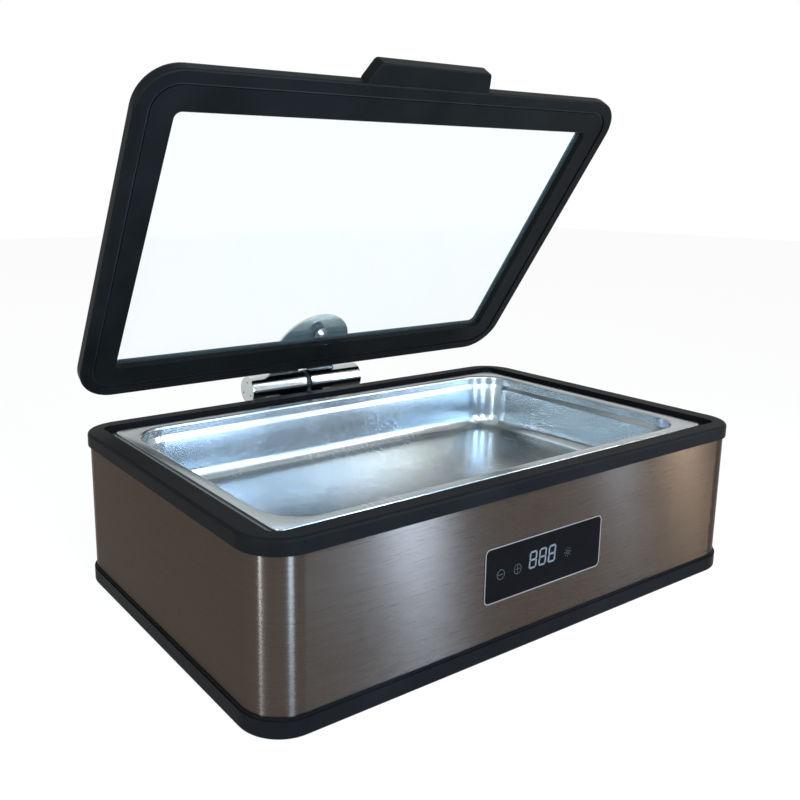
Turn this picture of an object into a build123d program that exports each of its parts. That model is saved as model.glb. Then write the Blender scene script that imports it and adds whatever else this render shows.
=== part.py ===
from build123d import *
import os

os.makedirs("parts", exist_ok=True)

# An electric chafing dish with a water bath, a full-size food pan and a damped glass lid.
# All sizes are in millimetres. X runs along the long side, Y to the back and Z up.
# The origin lies on the table, under the middle of the base.

# Food pan, full gastronorm size
pan_flange_length = 530.0
pan_flange_depth = 325.0
pan_flange_corner = 10.0
pan_flange_width = 12.0
pan_opening_corner = 40.0
pan_inside_height = 65.0
pan_skirt_height = 2.5
pan_shoulder_drop = 11.0
pan_shoulder_height = 4.0
pan_shoulder_step = 2.5
pan_wall_draft = 3.0
pan_floor_radius = 16.0
sheet = 0.8

# Base stack, from the table up
foot_proud = 2.0
foot_radius = 13.0
foot_inset = 52.0
bottom_trim_height = 18.0
casing_height = 128.5
top_trim_height = 13.5

# Base outline
trim_side_band = 19.5
trim_end_band = 17.0
trim_overhang = 2.5
casing_corner = 36.0
trim_edge_round = 3.0

# Top trim
trim_skin = 2.2
pan_rim_clearance = 0.5
ledge_drop = 6.9
ledge_width = 6.0
ledge_wall = 3.0
post_boss_radius = 6.5
casing_slot_depth = 2.0

# Bottom trim
reveal_height = 2.5
reveal_inset = 1.4
trim_wall = 3.2
upstand_height = 9.0
upstand_wall = 2.0
plate_ledge_width = 16.0
plate_ledge_lift = 4.0

# Bottom plate
plate_sheet = 1.2
vent_count = 9
vent_length = 60.0
vent_width = 5.0
vent_pitch = 14.0
vent_row_offset = 110.0

# Water pan and the space for water around the food pan
water_rim_margin = 9.0
water_wall_gap = 6.0
water_floor_gap = 18.0
water_corner = 44.0
water_floor_radius = 10.0

# Heater under the water pan
spreader_side_inset = 60.0
spreader_end_inset = 42.0
spreader_corner = 30.0
spreader_thickness = 3.0
tube_radius = 4.0
tube_side_inset = 50.0
tube_end_inset = 37.0
tube_bend = 22.0
shield_margin = 16.0
shield_gap = 1.0
insulation_thickness = 6.0
sensor_radius = 7.0
sensor_height = 9.0
sensor_gap = 12.0

# Posts that tie the trims together
post_radius = 4.0
post_edge = 20.0

# Control panel on the front
panel_length = 150.0
panel_height = 51.5
panel_bottom = 54.0
panel_corner = 5.5
panel_window_thickness = 2.6
panel_window_proud = 0.5
bezel_width = 1.2
bezel_flange = 4.0
holder_margin = 8.0
holder_depth = 17.0
holder_wall = 2.0
board_thickness = 1.6
board_margin = 4.0
display_length = 44.0
display_height = 22.0
display_center = -4.0
display_center_height = 83.0
fit_gap = 0.2

# Power board under the heat shield
power_board_length = 120.0
power_board_depth = 80.0
power_board_inset = 81.5
standoff_height = 8.0
standoff_radius = 3.5
standoff_edge = 6.0
relay_length = 28.0
relay_depth = 20.0
relay_height = 16.0

# Mains inlet at the back
inlet_inset = 91.5
inlet_height = 42.0
inlet_face_length = 50.0
inlet_face_height = 28.0
inlet_face_thickness = 3.0
inlet_body_length = 28.0
inlet_body_height = 21.0
inlet_body_depth = 20.0
inlet_cavity_length = 24.0
inlet_cavity_height = 16.5
inlet_cavity_depth = 16.5
inlet_cavity_corner = 5.0
inlet_pin_length = 14.0
inlet_pin_width = 4.0
inlet_pin_thickness = 2.0
inlet_pin_spacing = 7.0
inlet_pin_rise = 2.0
inlet_tab_length = 8.0

# Lid, given closed
lid_side_gap = 2.5
lid_front_gap = 3.0
lid_corner = 40.0
lid_seat_gap = 0.3
lid_thickness = 14.5
lid_rear_gap = 1.0
lid_rim_width = 12.0
lid_flange = 2.5
lid_side_border = 36.5
lid_end_border = 38.5
lid_window_corner = 7.0
lid_top_round = 5.0
lid_bottom_round = 2.0
glass_thickness = 4.0
groove_width = 2.5
groove_depth = 2.5
band_recess = 0.8
glass_edge_gap = 0.3

# Lid handle
handle_root_length = 153.0
handle_tip_length = 137.0
handle_offset = 4.0
handle_reach = 20.0
handle_underside = 1.5
handle_lip = 1.5
handle_lip_depth = 22.0
handle_round = 2.5
handle_screw_distance = 90.0

# Damped hinge
hinge_setback = 27.0
hinge_rise = 4.5
barrel_radius = 16.5
barrel_length = 157.0
barrel_bore = 13.5
barrel_end_wall = 6.0
knuckle_gap = 8.0
knuckle_radius = 15.3
knuckle_width = 5.4
washer_thickness = 1.0
pin_radius = 5.0
pin_end_gap = 1.0
running_clearance = 0.05
end_cap_thickness = 3.0
end_cap_plug = 6.0
end_cap_hole_radius = 1.2
end_cap_hole_distance = 9.5
end_cap_hole_count = 3
leaf_disc_radius = 50.0
leaf_disc_center = 23.0
leaf_thickness = 4.0
leaf_arm_length = 86.0
leaf_bevel = 1.6
leaf_slot_margin = 1.6
bracket_length = 110.0
bracket_height = 42.0
bracket_thickness = 4.0
bracket_top_gap = 4.0
bracket_corner = 8.0
bracket_shelf_length = 60.0
bracket_shelf_gap = 3.0
backing_thickness = 3.0

# Screws
screw_radius = 2.5
screw_head_radius = 4.8
screw_head_height = 2.8
bracket_screw_spacing = 84.0
bracket_screw_rise = 26.0
leaf_screw_spacing = 60.0
leaf_screw_inset = 18.0
glass_bolt_inset = 50.0
glass_bolt_washer_radius = 8.0
glass_bolt_washer_thickness = 1.0
cap_nut_radius = 4.6
cap_nut_height = 2.6

# How far the lid stands open, and the lift left to the pan below the closed lid
lid_open_angle = 56.0
seat_gap = 0.1

# Derived heights
bottom_trim_top = foot_proud + bottom_trim_height
casing_top = bottom_trim_top + casing_height
trim_top = casing_top + top_trim_height
ledge_z = trim_top - ledge_drop
pan_seat_z = ledge_z + sheet + seat_gap
pan_top = pan_seat_z + pan_skirt_height
pan_floor_top = pan_top - pan_inside_height
water_floor_top = pan_floor_top - sheet - water_floor_gap
water_floor_under = water_floor_top - sheet
plate_ledge_z = foot_proud + plate_ledge_lift
plate_under = plate_ledge_z - plate_sheet
lid_under = trim_top + lid_seat_gap
panel_center_z = panel_bottom + panel_height / 2

# Derived outlines
pan_opening_length = pan_flange_length - 2 * pan_flange_width
pan_opening_depth = pan_flange_depth - 2 * pan_flange_width
water_rim_length = pan_flange_length + 2 * water_rim_margin
water_rim_depth = pan_flange_depth + 2 * water_rim_margin
water_rim_corner = pan_flange_corner
opening_length = water_rim_length + 2 * pan_rim_clearance
opening_depth = water_rim_depth + 2 * pan_rim_clearance
opening_corner = water_rim_corner + pan_rim_clearance
trim_length = opening_length + 2 * trim_side_band
trim_depth = opening_depth + 2 * trim_end_band
casing_length = trim_length - 2 * trim_overhang
casing_depth = trim_depth - 2 * trim_overhang
casing_back = casing_depth / 2
trim_corner = casing_corner + trim_overhang
well_length = pan_opening_length + 2 * (sheet + water_wall_gap)
well_depth = pan_opening_depth + 2 * (sheet + water_wall_gap)
spreader_length = well_length - 2 * spreader_side_inset
spreader_depth = well_depth - 2 * spreader_end_inset
sensor_x = spreader_length / 2 + shield_margin + sensor_gap + sensor_radius
power_board_x = casing_length / 2 - power_board_inset - power_board_length / 2
inlet_x = inlet_inset - casing_length / 2
post_x = casing_length / 2 - post_edge
post_y = casing_depth / 2 - post_edge

# Derived lid and hinge places
lid_rear = trim_depth / 2 - lid_rear_gap
lid_front = lid_front_gap - trim_depth / 2
lid_depth = lid_rear - lid_front
lid_length = trim_length - 2 * lid_side_gap
lid_center = (lid_rear + lid_front) / 2
lid_top = lid_under + lid_thickness
glass_top = lid_top - lid_flange
glass_under = glass_top - glass_thickness
band_under = lid_under + band_recess
axis_y = trim_depth / 2 + hinge_setback
axis_z = trim_top + hinge_rise
pin_length = barrel_length - 2 * (end_cap_thickness + end_cap_plug + pin_end_gap)


def prism(length, depth, corner, low, high, y=0.0):
    # An upright block with rounded corners.
    outline = RectangleRounded(length, depth, corner)
    return Pos(0, y, low) * extrude(outline, high - low)


def ring(length, depth, corner, width, low, high, y=0.0):
    # A closed frame whose band has the same width on every side.
    inner_corner = max(corner - width, 1.0)
    inner = prism(length - 2 * width, depth - 2 * width, inner_corner, low - 1, high + 1, y)
    return prism(length, depth, corner, low, high, y) - inner


def rod(radius, low, high, x=0.0, y=0.0):
    return Pos(x, y, (low + high) / 2) * Cylinder(radius, high - low)


def axle(radius, left, right):
    # A cylinder along the hinge axis.
    middle = (left + right) / 2
    return Pos(middle, axis_y, axis_z) * Rot(0, 90, 0) * Cylinder(radius, right - left)


def four_corners(x, y):
    return [(-x, -y), (x, -y), (x, y), (-x, y)]


def opened(shape):
    # Turns a piece of the closed lid up about the hinge axis.
    turn = Pos(0, axis_y, axis_z) * Rot(-lid_open_angle, 0, 0) * Pos(0, -axis_y, -axis_z)
    return turn * shape


def pan_form(length, depth, corner, top, floor, floor_radius, draft):
    # A tapered tub as a solid, rounded where the walls meet the floor.
    upper = Pos(0, 0, top) * RectangleRounded(length, depth, corner)
    lower = Pos(0, 0, floor) * RectangleRounded(length - 2 * draft, depth - 2 * draft, corner - draft)
    tub = loft([upper, lower], ruled=True)
    return fillet(tub.faces().sort_by(Axis.Z)[0].edges(), floor_radius)


def pan_inside(grow):
    # The inside of the food pan, or its outside when it is grown by the sheet.
    length = pan_opening_length + 2 * grow
    depth = pan_opening_depth + 2 * grow
    corner = pan_opening_corner + grow
    shoulder_top = pan_top - pan_shoulder_drop
    shoulder_low = shoulder_top - pan_shoulder_height
    step = pan_shoulder_step
    mouth = prism(length, depth, corner, shoulder_top, pan_top)
    wide = Pos(0, 0, shoulder_top) * RectangleRounded(length, depth, corner)
    narrow = Pos(0, 0, shoulder_low) * RectangleRounded(length - 2 * step, depth - 2 * step, corner - step)
    shoulder = loft([wide, narrow], ruled=True)
    tub = pan_form(length - 2 * step, depth - 2 * step, corner - step, shoulder_low,
                   pan_floor_top - grow, pan_floor_radius + grow, pan_wall_draft)
    return mouth + shoulder + tub


def food_pan():
    flange = prism(pan_flange_length, pan_flange_depth, pan_flange_corner, pan_top - sheet, pan_top)
    skirt = ring(pan_flange_length, pan_flange_depth, pan_flange_corner, sheet, pan_seat_z, pan_top)
    return flange + skirt + pan_inside(sheet) - pan_inside(0)


def water_pan():
    rim = prism(water_rim_length, water_rim_depth, water_rim_corner, ledge_z, ledge_z + sheet)
    outside = pan_form(well_length + 2 * sheet, well_depth + 2 * sheet, water_corner + sheet,
                       ledge_z, water_floor_under, water_floor_radius + sheet, pan_wall_draft)
    inside = pan_form(well_length, well_depth, water_corner,
                      ledge_z + sheet, water_floor_top, water_floor_radius, pan_wall_draft)
    return rim + outside - inside


def top_trim():
    body = prism(trim_length, trim_depth, trim_corner, casing_top, trim_top)
    body = fillet(body.faces().sort_by(Axis.Z)[-1].edges(), trim_edge_round)
    body -= prism(opening_length, opening_depth, opening_corner, ledge_z, trim_top + 1)
    body -= prism(opening_length - 2 * ledge_width, opening_depth - 2 * ledge_width,
                  opening_corner, casing_top - 1, ledge_z + 1)
    hollow = ring(casing_length, casing_depth, casing_corner, sheet + fit_gap,
                  casing_top - 1, casing_top + casing_slot_depth)
    inner_margin = opening_length - 2 * ledge_width + 2 * ledge_wall
    inner_depth = opening_depth - 2 * ledge_width + 2 * ledge_wall
    pocket = prism(casing_length - 2 * trim_skin, casing_depth - 2 * trim_skin, casing_corner - trim_skin,
                   casing_top - 1, ledge_z - ledge_wall)
    pocket -= prism(inner_margin, inner_depth, opening_corner + ledge_wall, casing_top - 2, ledge_z)
    for x, y in four_corners(post_x, post_y):
        pocket -= rod(post_boss_radius, casing_top - 2, ledge_z, x, y)
    return body - hollow - pocket


def casing_outline(shrink, low, high):
    return prism(casing_length - 2 * shrink, casing_depth - 2 * shrink, casing_corner - shrink, low, high)


def bracket_screw_places():
    x = bracket_screw_spacing / 2
    middle = bracket_top() - bracket_height / 2
    low = middle - bracket_screw_rise / 2
    high = middle + bracket_screw_rise / 2
    return [(-x, low), (x, low), (-x, high), (x, high)]


def bracket_top():
    return casing_top - bracket_top_gap


def back_rod(radius, front, back, x, z):
    return Pos(x, (front + back) / 2, z) * Rot(90, 0, 0) * Cylinder(radius, back - front)


def front_block(length, height, corner, front, back, x, z):
    outline = Plane.XZ * RectangleRounded(length, height, corner)
    return Pos(x, back, z) * extrude(outline, back - front)


def casing_wrap():
    top = casing_top + casing_slot_depth
    wrap = casing_outline(0, bottom_trim_top, top) - casing_outline(sheet, bottom_trim_top - 1, top + 1)
    front = -casing_back
    wrap -= front_block(panel_length + 2 * fit_gap, panel_height + 2 * fit_gap, panel_corner + fit_gap,
                        front - 5, front + 5, 0, panel_center_z)
    wrap -= front_block(inlet_body_length + 2 * fit_gap, inlet_body_height + 2 * fit_gap, inlet_cavity_corner,
                        casing_back - 5, casing_back + 5, inlet_x, inlet_height)
    for x, z in bracket_screw_places():
        wrap -= back_rod(screw_radius + fit_gap, casing_back - 5, casing_back + 5, x, z)
    return wrap


def bottom_trim():
    band_top = bottom_trim_top - reveal_height
    band = prism(trim_length, trim_depth, trim_corner, foot_proud, band_top)
    band = fillet(band.faces().sort_by(Axis.Z)[0].edges(), trim_edge_round)
    inset = reveal_inset
    reveal = prism(trim_length - 2 * inset, trim_depth - 2 * inset, trim_corner - inset,
                   band_top, bottom_trim_top)
    lift_top = bottom_trim_top + upstand_height
    gap = sheet + fit_gap
    upstand = casing_outline(gap, bottom_trim_top, lift_top)
    hollow = casing_outline(gap + upstand_wall, plate_ledge_z + trim_wall, lift_top + 1)
    shelf = plate_ledge_width
    hollow += casing_outline(gap + upstand_wall + shelf, foot_proud - 1, lift_top)
    plate_seat = casing_outline(trim_wall, foot_proud - 1, plate_ledge_z)
    trim = band + reveal + upstand - hollow - plate_seat
    for x, y in four_corners(post_x, post_y):
        trim -= rod(post_radius + fit_gap, foot_proud, lift_top, x, y)
    return trim


def bottom_plate():
    shrink = trim_wall + fit_gap
    plate = casing_outline(shrink, plate_under, plate_ledge_z)
    slot = Rot(0, 0, 90) * SlotOverall(vent_length, vent_width)
    for side in (-1, 1):
        for number in range(vent_count):
            x = (number - (vent_count - 1) / 2) * vent_pitch + side * vent_row_offset
            plate -= Pos(x, 0, plate_under - 1) * extrude(slot, plate_sheet + 2)
    for x, y in four_corners(post_x, post_y):
        plate -= rod(screw_radius + fit_gap, plate_under - 1, plate_ledge_z + 1, x, y)
    for x, y in foot_places():
        plate -= rod(screw_radius, plate_under - 1, plate_ledge_z + 1, x, y)
    return plate


def foot_places():
    return four_corners(casing_length / 2 - foot_inset, casing_depth / 2 - foot_inset)


def rubber_foot(x, y):
    foot = rod(foot_radius, 0, plate_under, x, y)
    foot = chamfer(foot.faces().sort_by(Axis.Z)[0].edges(), plate_under / 4)
    foot -= rod(screw_head_radius + fit_gap, -1, plate_under / 2, x, y)
    return foot - rod(screw_radius, 0, plate_under + 1, x, y)


def foot_screw(x, y):
    head_top = plate_under / 2
    head = rod(screw_head_radius, head_top - plate_under / 3, head_top, x, y)
    return head + rod(screw_radius, head_top, plate_ledge_z + standoff_height / 2, x, y)


def post(x, y):
    # A threaded tie between the bottom plate and the top trim, with a screw head under the plate.
    low = plate_ledge_z + fit_gap
    body = rod(post_radius, plate_ledge_z, casing_top, x, y)
    body += rod(screw_radius, plate_under, low, x, y)
    return body + rod(screw_head_radius, plate_under - screw_head_height / 2, plate_under, x, y)


def heat_spreader():
    top = water_floor_under
    return prism(spreader_length, spreader_depth, spreader_corner, top - spreader_thickness, top)


def heating_element():
    # One tube in even runs, pressed against the underside of the spreader.
    z = water_floor_under - spreader_thickness - tube_radius
    x = spreader_length / 2 - tube_side_inset
    y = spreader_depth / 2 - tube_end_inset
    run = 2 * y / 3
    points = [(x, -y, z), (-x, -y, z), (-x, run - y, z), (x, run - y, z),
              (x, y - run, z), (-x, y - run, z), (-x, y, z), (x, y, z)]
    path = FilletPolyline(*points, radius=tube_bend)
    start = Plane(origin=path @ 0, z_dir=path % 0)
    return sweep(start * Circle(tube_radius), path=path)


def heat_shield():
    top = water_floor_under
    low = top - spreader_thickness - 2 * tube_radius - shield_gap - insulation_thickness - sheet
    length = spreader_length + 2 * shield_margin
    depth = spreader_depth + 2 * shield_margin
    corner = spreader_corner + shield_margin
    tray = prism(length, depth, corner, low, top)
    inside = prism(length - 2 * sheet, depth - 2 * sheet, corner - sheet, low + sheet, top + 1)
    return tray - inside


def insulation():
    low = water_floor_under - spreader_thickness - 2 * tube_radius - shield_gap - insulation_thickness
    length = spreader_length + 2 * shield_margin - 2 * sheet - 2 * fit_gap
    depth = spreader_depth + 2 * shield_margin - 2 * sheet - 2 * fit_gap
    corner = spreader_corner + shield_margin - sheet - fit_gap
    return prism(length, depth, corner, low, low + insulation_thickness)


def sensor(side):
    top = water_floor_under
    body = rod(sensor_radius, top - sensor_height, top, side * sensor_x)
    tabs = Pos(side * sensor_x, 0, top - sensor_height - 2) * Box(2, sensor_radius, 4)
    return body + tabs


def control_bezel():
    # A bright frame that lines the cut-out, with a flange behind the sheet.
    front = -casing_back
    inner = -casing_back + sheet
    face = front_block(panel_length, panel_height, panel_corner, front - panel_window_proud, inner, 0, panel_center_z)
    flange = front_block(panel_length + 2 * bezel_flange, panel_height + 2 * bezel_flange,
                         panel_corner + bezel_flange, inner, inner + sheet, 0, panel_center_z)
    hole = front_block(panel_length - 2 * bezel_width, panel_height - 2 * bezel_width,
                       panel_corner - bezel_width, front - bezel_flange, front + bezel_flange, 0, panel_center_z)
    return face + flange - hole


def control_window():
    front = -casing_back - panel_window_proud
    margin = 2 * (bezel_width + fit_gap / 2)
    return front_block(panel_length - margin, panel_height - margin, panel_corner - bezel_width,
                       front, front + panel_window_thickness, 0, panel_center_z)


def panel_holder():
    # A shallow moulded box that backs the window and carries the board.
    front = -casing_back + 2 * sheet
    length = panel_length + 2 * holder_margin
    height = panel_height + 2 * holder_margin
    box = front_block(length, height, panel_corner, front, front + holder_depth, 0, panel_center_z)
    pocket = front_block(length - 2 * holder_wall, height - 2 * holder_wall, panel_corner - holder_wall,
                         front - 1, front + holder_depth - holder_wall, 0, panel_center_z)
    return box - pocket


def panel_board():
    front = board_front()
    return front_block(panel_length - 2 * board_margin, panel_height - 2 * board_margin, board_thickness,
                       front, front + board_thickness, 0, panel_center_z)


def board_front():
    return -casing_back + 2 * sheet + holder_depth - holder_wall - board_thickness


def display_module():
    window_back = -casing_back - panel_window_proud + panel_window_thickness
    return front_block(display_length, display_height, 1.0, window_back, board_front(),
                       display_center, display_center_height)


def power_board():
    low = plate_ledge_z + standoff_height
    board = Pos(power_board_x, 0, low + board_thickness / 2)
    return board * Box(power_board_length, power_board_depth, board_thickness)


def board_standoffs():
    x = power_board_length / 2 - standoff_edge
    y = power_board_depth / 2 - standoff_edge
    return [rod(standoff_radius, plate_ledge_z, plate_ledge_z + standoff_height, power_board_x + dx, dy)
            for dx, dy in four_corners(x, y)]


def relay():
    low = plate_ledge_z + standoff_height + board_thickness
    return Pos(power_board_x, 0, low + relay_height / 2) * Box(relay_length, relay_depth, relay_height)


def mains_inlet():
    face = front_block(inlet_face_length, inlet_face_height, 4.0, casing_back,
                       casing_back + inlet_face_thickness, inlet_x, inlet_height)
    body = front_block(inlet_body_length, inlet_body_height, inlet_cavity_corner,
                       casing_back - inlet_body_depth, casing_back, inlet_x, inlet_height)
    mouth = casing_back + inlet_face_thickness
    cavity = front_block(inlet_cavity_length, inlet_cavity_height, inlet_cavity_corner,
                         mouth - inlet_cavity_depth, mouth + 1, inlet_x, inlet_height)
    inlet = face + body - cavity
    inside = casing_back - inlet_body_depth - inlet_tab_length
    for x, z in inlet_pin_places():
        inlet -= front_block(inlet_pin_thickness, inlet_pin_width, 0.4, inside, mouth, x, z)
    return inlet


def inlet_pin_places():
    low = inlet_height - inlet_pin_rise
    high = inlet_height + inlet_pin_rise
    return [(inlet_x - inlet_pin_spacing, low), (inlet_x, high), (inlet_x + inlet_pin_spacing, low)]


def inlet_pin(x, z):
    cavity_floor = casing_back + inlet_face_thickness - inlet_cavity_depth
    back = cavity_floor + inlet_pin_length
    front = casing_back - inlet_body_depth - inlet_tab_length
    return front_block(inlet_pin_thickness, inlet_pin_width, 0.4, front, back, x, z)


def lid_block(low, high, shrink=0.0):
    return prism(lid_length - 2 * shrink, lid_depth - 2 * shrink, lid_corner - shrink, low, high, lid_center)


def lid_envelope():
    block = lid_block(lid_under, lid_top)
    block = fillet(block.faces().sort_by(Axis.Z)[-1].edges(), lid_top_round)
    return fillet(block.faces().sort_by(Axis.Z)[0].edges(), lid_bottom_round)


def lid_window(low, high):
    length = lid_length - 2 * lid_side_border
    depth = lid_depth - 2 * lid_end_border
    return prism(length, depth, lid_window_corner, low, high, lid_center)


def leaf_screw_places():
    y = lid_rear - leaf_screw_inset
    return [(-leaf_screw_spacing / 2, y), (leaf_screw_spacing / 2, y)]


def handle_screw_places():
    y = lid_front + lid_rim_width / 2
    half = handle_screw_distance / 2
    return [(handle_offset - half, y), (handle_offset + half, y)]


def lid_frame():
    frame = lid_envelope()
    frame -= lid_block(lid_under - 1, glass_top, lid_rim_width)
    frame -= lid_window(lid_under - 1, lid_top + 1)
    for x, y in leaf_screw_places():
        frame -= rod(screw_radius, lid_under, lid_top + 1, x, y)
    for x, y in handle_screw_places():
        frame -= rod(screw_radius, glass_under, lid_top + 1, x, y)
    return frame


def lid_retainer():
    band = lid_block(band_under, glass_under, lid_rim_width + groove_width)
    band -= lid_window(band_under - 1, glass_under + 1)
    for x, y in leaf_screw_places():
        band -= rod(screw_radius, leaf_screw_tip(), glass_under + 1, x, y)
    return band


def leaf_screw_tip():
    return glass_under - (glass_under - band_under) * 0.6


def lid_glass():
    glass = lid_block(glass_under, glass_top, lid_rim_width + glass_edge_gap)
    for x, y in leaf_screw_places():
        glass -= rod(screw_radius, glass_under - 1, glass_top + 1, x, y)
    return glass - rod(screw_radius, glass_under - 1, glass_top + 1, 0, lid_rear - glass_bolt_inset)


def lid_gasket():
    low = lid_under + groove_depth
    strip = lid_block(low, glass_under, lid_rim_width)
    return strip - lid_block(low - 1, glass_under + 1, lid_rim_width + groove_width)


def lid_handle():
    root = handle_root_length / 2
    tip = handle_tip_length / 2
    back = lid_front + handle_lip_depth
    front = lid_front - handle_reach
    low = lid_under + handle_underside
    high = lid_top + handle_lip
    outline = Polygon((-root, back), (-root, lid_front), (-tip, front), (tip, front), (root, lid_front),
                      (root, back), align=None)
    outline = fillet(outline.vertices().filter_by(lambda v: v.Y < back - 1), handle_round * 2)
    block = Pos(handle_offset, 0, low) * extrude(outline, high - low)
    block = fillet(block.faces().sort_by(Axis.Z)[-1].edges(), handle_round)
    block = fillet(block.faces().sort_by(Axis.Z)[0].edges().filter_by(lambda e: e.center().Y < lid_front - 1),
                   handle_round / 2)
    block -= lid_envelope()
    block -= prism(lid_length, handle_lip_depth * 2, 1.0, low - 1, lid_top, lid_front + handle_lip_depth)
    for x, y in handle_screw_places():
        block -= rod(screw_radius, low, high + 1, x, y)
    return block


def handle_screw(x, y):
    high = lid_top + handle_lip
    return rod(screw_radius, glass_under, high, x, y) + screw_head(high, x, y)


def screw_head(low, x, y):
    head = rod(screw_head_radius, low, low + screw_head_height, x, y)
    return chamfer(head.faces().sort_by(Axis.Z)[-1].edges(), screw_head_height / 2)


def leaf_screw(x, y):
    high = lid_top + leaf_thickness
    return rod(screw_radius, leaf_screw_tip(), high, x, y) + screw_head(high, x, y)


def hinge_leaf():
    # A half-round plate on the lid that runs back into two knuckles around the pin.
    low = lid_top
    high = lid_top + leaf_thickness
    disc_y = lid_rear - leaf_disc_center
    outline = Pos(0, disc_y) * Circle(leaf_disc_radius)
    half = leaf_disc_radius
    cut = Pos(0, disc_y + half) * Rectangle(2 * half, 2 * half)
    outline -= cut
    plate = Polygon((-half, disc_y), (half, disc_y), (half, lid_rear - lid_top_round),
                    (leaf_arm_length / 2, axis_y), (-leaf_arm_length / 2, axis_y),
                    (-half, lid_rear - lid_top_round), align=None)
    plate_solid = Pos(0, 0, low) * extrude(outline + plate, high - low)
    top_edges = plate_solid.faces().sort_by(Axis.Z)[-1].edges()
    front_edges = top_edges.filter_by(lambda e: e.center().Y < disc_y + 1)
    plate_solid = chamfer(front_edges, leaf_bevel)
    leaf = plate_solid
    half_gap = knuckle_gap / 2
    end = barrel_length / 2 - end_cap_thickness
    leaf -= axle(barrel_radius - 1, -end, end)
    for left, right in ((-end, -half_gap), (half_gap, end)):
        leaf += axle(barrel_radius, left, right)
    for left, right in ((-end - 1, -half_gap - barrel_end_wall), (half_gap + barrel_end_wall, end + 1)):
        leaf -= axle(barrel_bore, left, right)
    leaf -= axle(pin_radius + running_clearance, -end, end)
    slot = knuckle_gap / 2 + leaf_slot_margin
    clear = Pos(0, axis_y, axis_z + barrel_radius) * Box(2 * slot, 2 * barrel_radius, 2 * barrel_radius)
    leaf -= clear
    for x, y in leaf_screw_places():
        leaf -= rod(screw_radius, low - 1, high + 1, x, y)
    return leaf - rod(screw_radius, low - 1, high + 1, 0, lid_rear - glass_bolt_inset)


def hinge_damper(side):
    inner = knuckle_gap / 2 + barrel_end_wall
    outer = pin_length / 2
    body = axle(barrel_bore - running_clearance, inner, outer) - axle(pin_radius + running_clearance, 0, outer + 1)
    if side < 0:
        body = mirror(body, about=Plane.YZ)
    return body


def hinge_end_cap(side):
    inner = barrel_length / 2 - end_cap_thickness
    outer = barrel_length / 2
    disc = axle(barrel_radius, inner, outer)
    disc = chamfer(disc.faces().sort_by(Axis.X)[-1].edges(), end_cap_thickness / 3)
    plug = axle(barrel_bore - running_clearance, inner - end_cap_plug, inner)
    cap = disc + plug
    for place in PolarLocations(end_cap_hole_distance, end_cap_hole_count):
        hole = Pos(outer, axis_y, axis_z) * Rot(0, 90, 0) * place * Cylinder(end_cap_hole_radius, end_cap_thickness)
        cap -= hole
    if side < 0:
        cap = mirror(cap, about=Plane.YZ)
    return cap


def hinge_pin():
    return axle(pin_radius, -pin_length / 2, pin_length / 2)


def hinge_washer(side):
    inner = knuckle_width / 2
    ring_body = axle(knuckle_radius, inner, inner + washer_thickness) - axle(pin_radius, 0, knuckle_gap)
    if side < 0:
        ring_body = mirror(ring_body, about=Plane.YZ)
    return ring_body


def hinge_bracket():
    # A back plate on the casing with a shelf and a web that rises to the middle knuckle.
    back = casing_back + bracket_thickness
    middle = bracket_top() - bracket_height / 2
    plate = front_block(bracket_length, bracket_height, bracket_corner, casing_back, back, 0, middle)
    shelf_top = axis_z - barrel_radius - bracket_shelf_gap
    shelf_top = min(shelf_top, bracket_top())
    shelf_low = shelf_top - bracket_thickness * 1.5
    shelf_back = axis_y + barrel_radius / 2
    shelf = Pos(0, (back + shelf_back) / 2, (shelf_low + shelf_top) / 2)
    shelf *= Box(bracket_shelf_length, shelf_back - back, shelf_top - shelf_low)
    shelf = fillet(shelf.edges().filter_by(Axis.Z).sort_by(Axis.Y)[-2:], bracket_corner)
    web_outline = Polygon((back, middle - bracket_height / 3), (back, shelf_top),
                          (axis_y - knuckle_radius * 0.7, axis_z), (axis_y + knuckle_radius * 0.7, axis_z),
                          (shelf_back, shelf_low), align=None)
    web = extrude(Plane.YZ * web_outline, knuckle_width / 2, both=True)
    bracket = plate + shelf + web + axle(knuckle_radius, -knuckle_width / 2, knuckle_width / 2)
    bracket -= axle(pin_radius, -knuckle_width, knuckle_width)
    for x, z in bracket_screw_places():
        bracket -= back_rod(screw_radius, casing_back - 1, back + 1, x, z)
    return bracket


def hinge_backing():
    front = casing_back - sheet - backing_thickness
    middle = bracket_top() - bracket_height / 2
    plate = front_block(bracket_length, bracket_height, bracket_corner, front, casing_back - sheet, 0, middle)
    for x, z in bracket_screw_places():
        plate -= back_rod(screw_radius, front - 1, casing_back, x, z)
    return plate


def bracket_screw(x, z):
    back = casing_back + bracket_thickness
    front = casing_back - sheet - backing_thickness
    head = back_rod(screw_head_radius, back, back + screw_head_height, x, z)
    head = chamfer(head.faces().sort_by(Axis.Y)[-1].edges(), screw_head_height / 2)
    return head + back_rod(screw_radius, front, back, x, z)


def glass_spacer():
    y = lid_rear - glass_bolt_inset
    return rod(glass_bolt_washer_radius, glass_top, lid_top, 0, y) - rod(screw_radius, glass_top - 1, lid_top + 1, 0, y)


def glass_washer():
    y = lid_rear - glass_bolt_inset
    low = glass_under - glass_bolt_washer_thickness
    return rod(glass_bolt_washer_radius, low, glass_under, 0, y) - rod(screw_radius, low - 1, glass_under + 1, 0, y)


def cap_nut():
    y = lid_rear - glass_bolt_inset
    high = glass_under - glass_bolt_washer_thickness
    low = high - cap_nut_height
    hexagon = Pos(0, y, low) * extrude(RegularPolygon(cap_nut_radius, 6), cap_nut_height)
    dome = Pos(0, y, low) * Cylinder(cap_nut_radius * 0.8, cap_nut_height / 2)
    dome = chamfer(dome.faces().sort_by(Axis.Z)[0].edges(), cap_nut_height / 4)
    return hexagon + dome - rod(screw_radius, low + cap_nut_height / 3, high + 1, 0, y)


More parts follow.
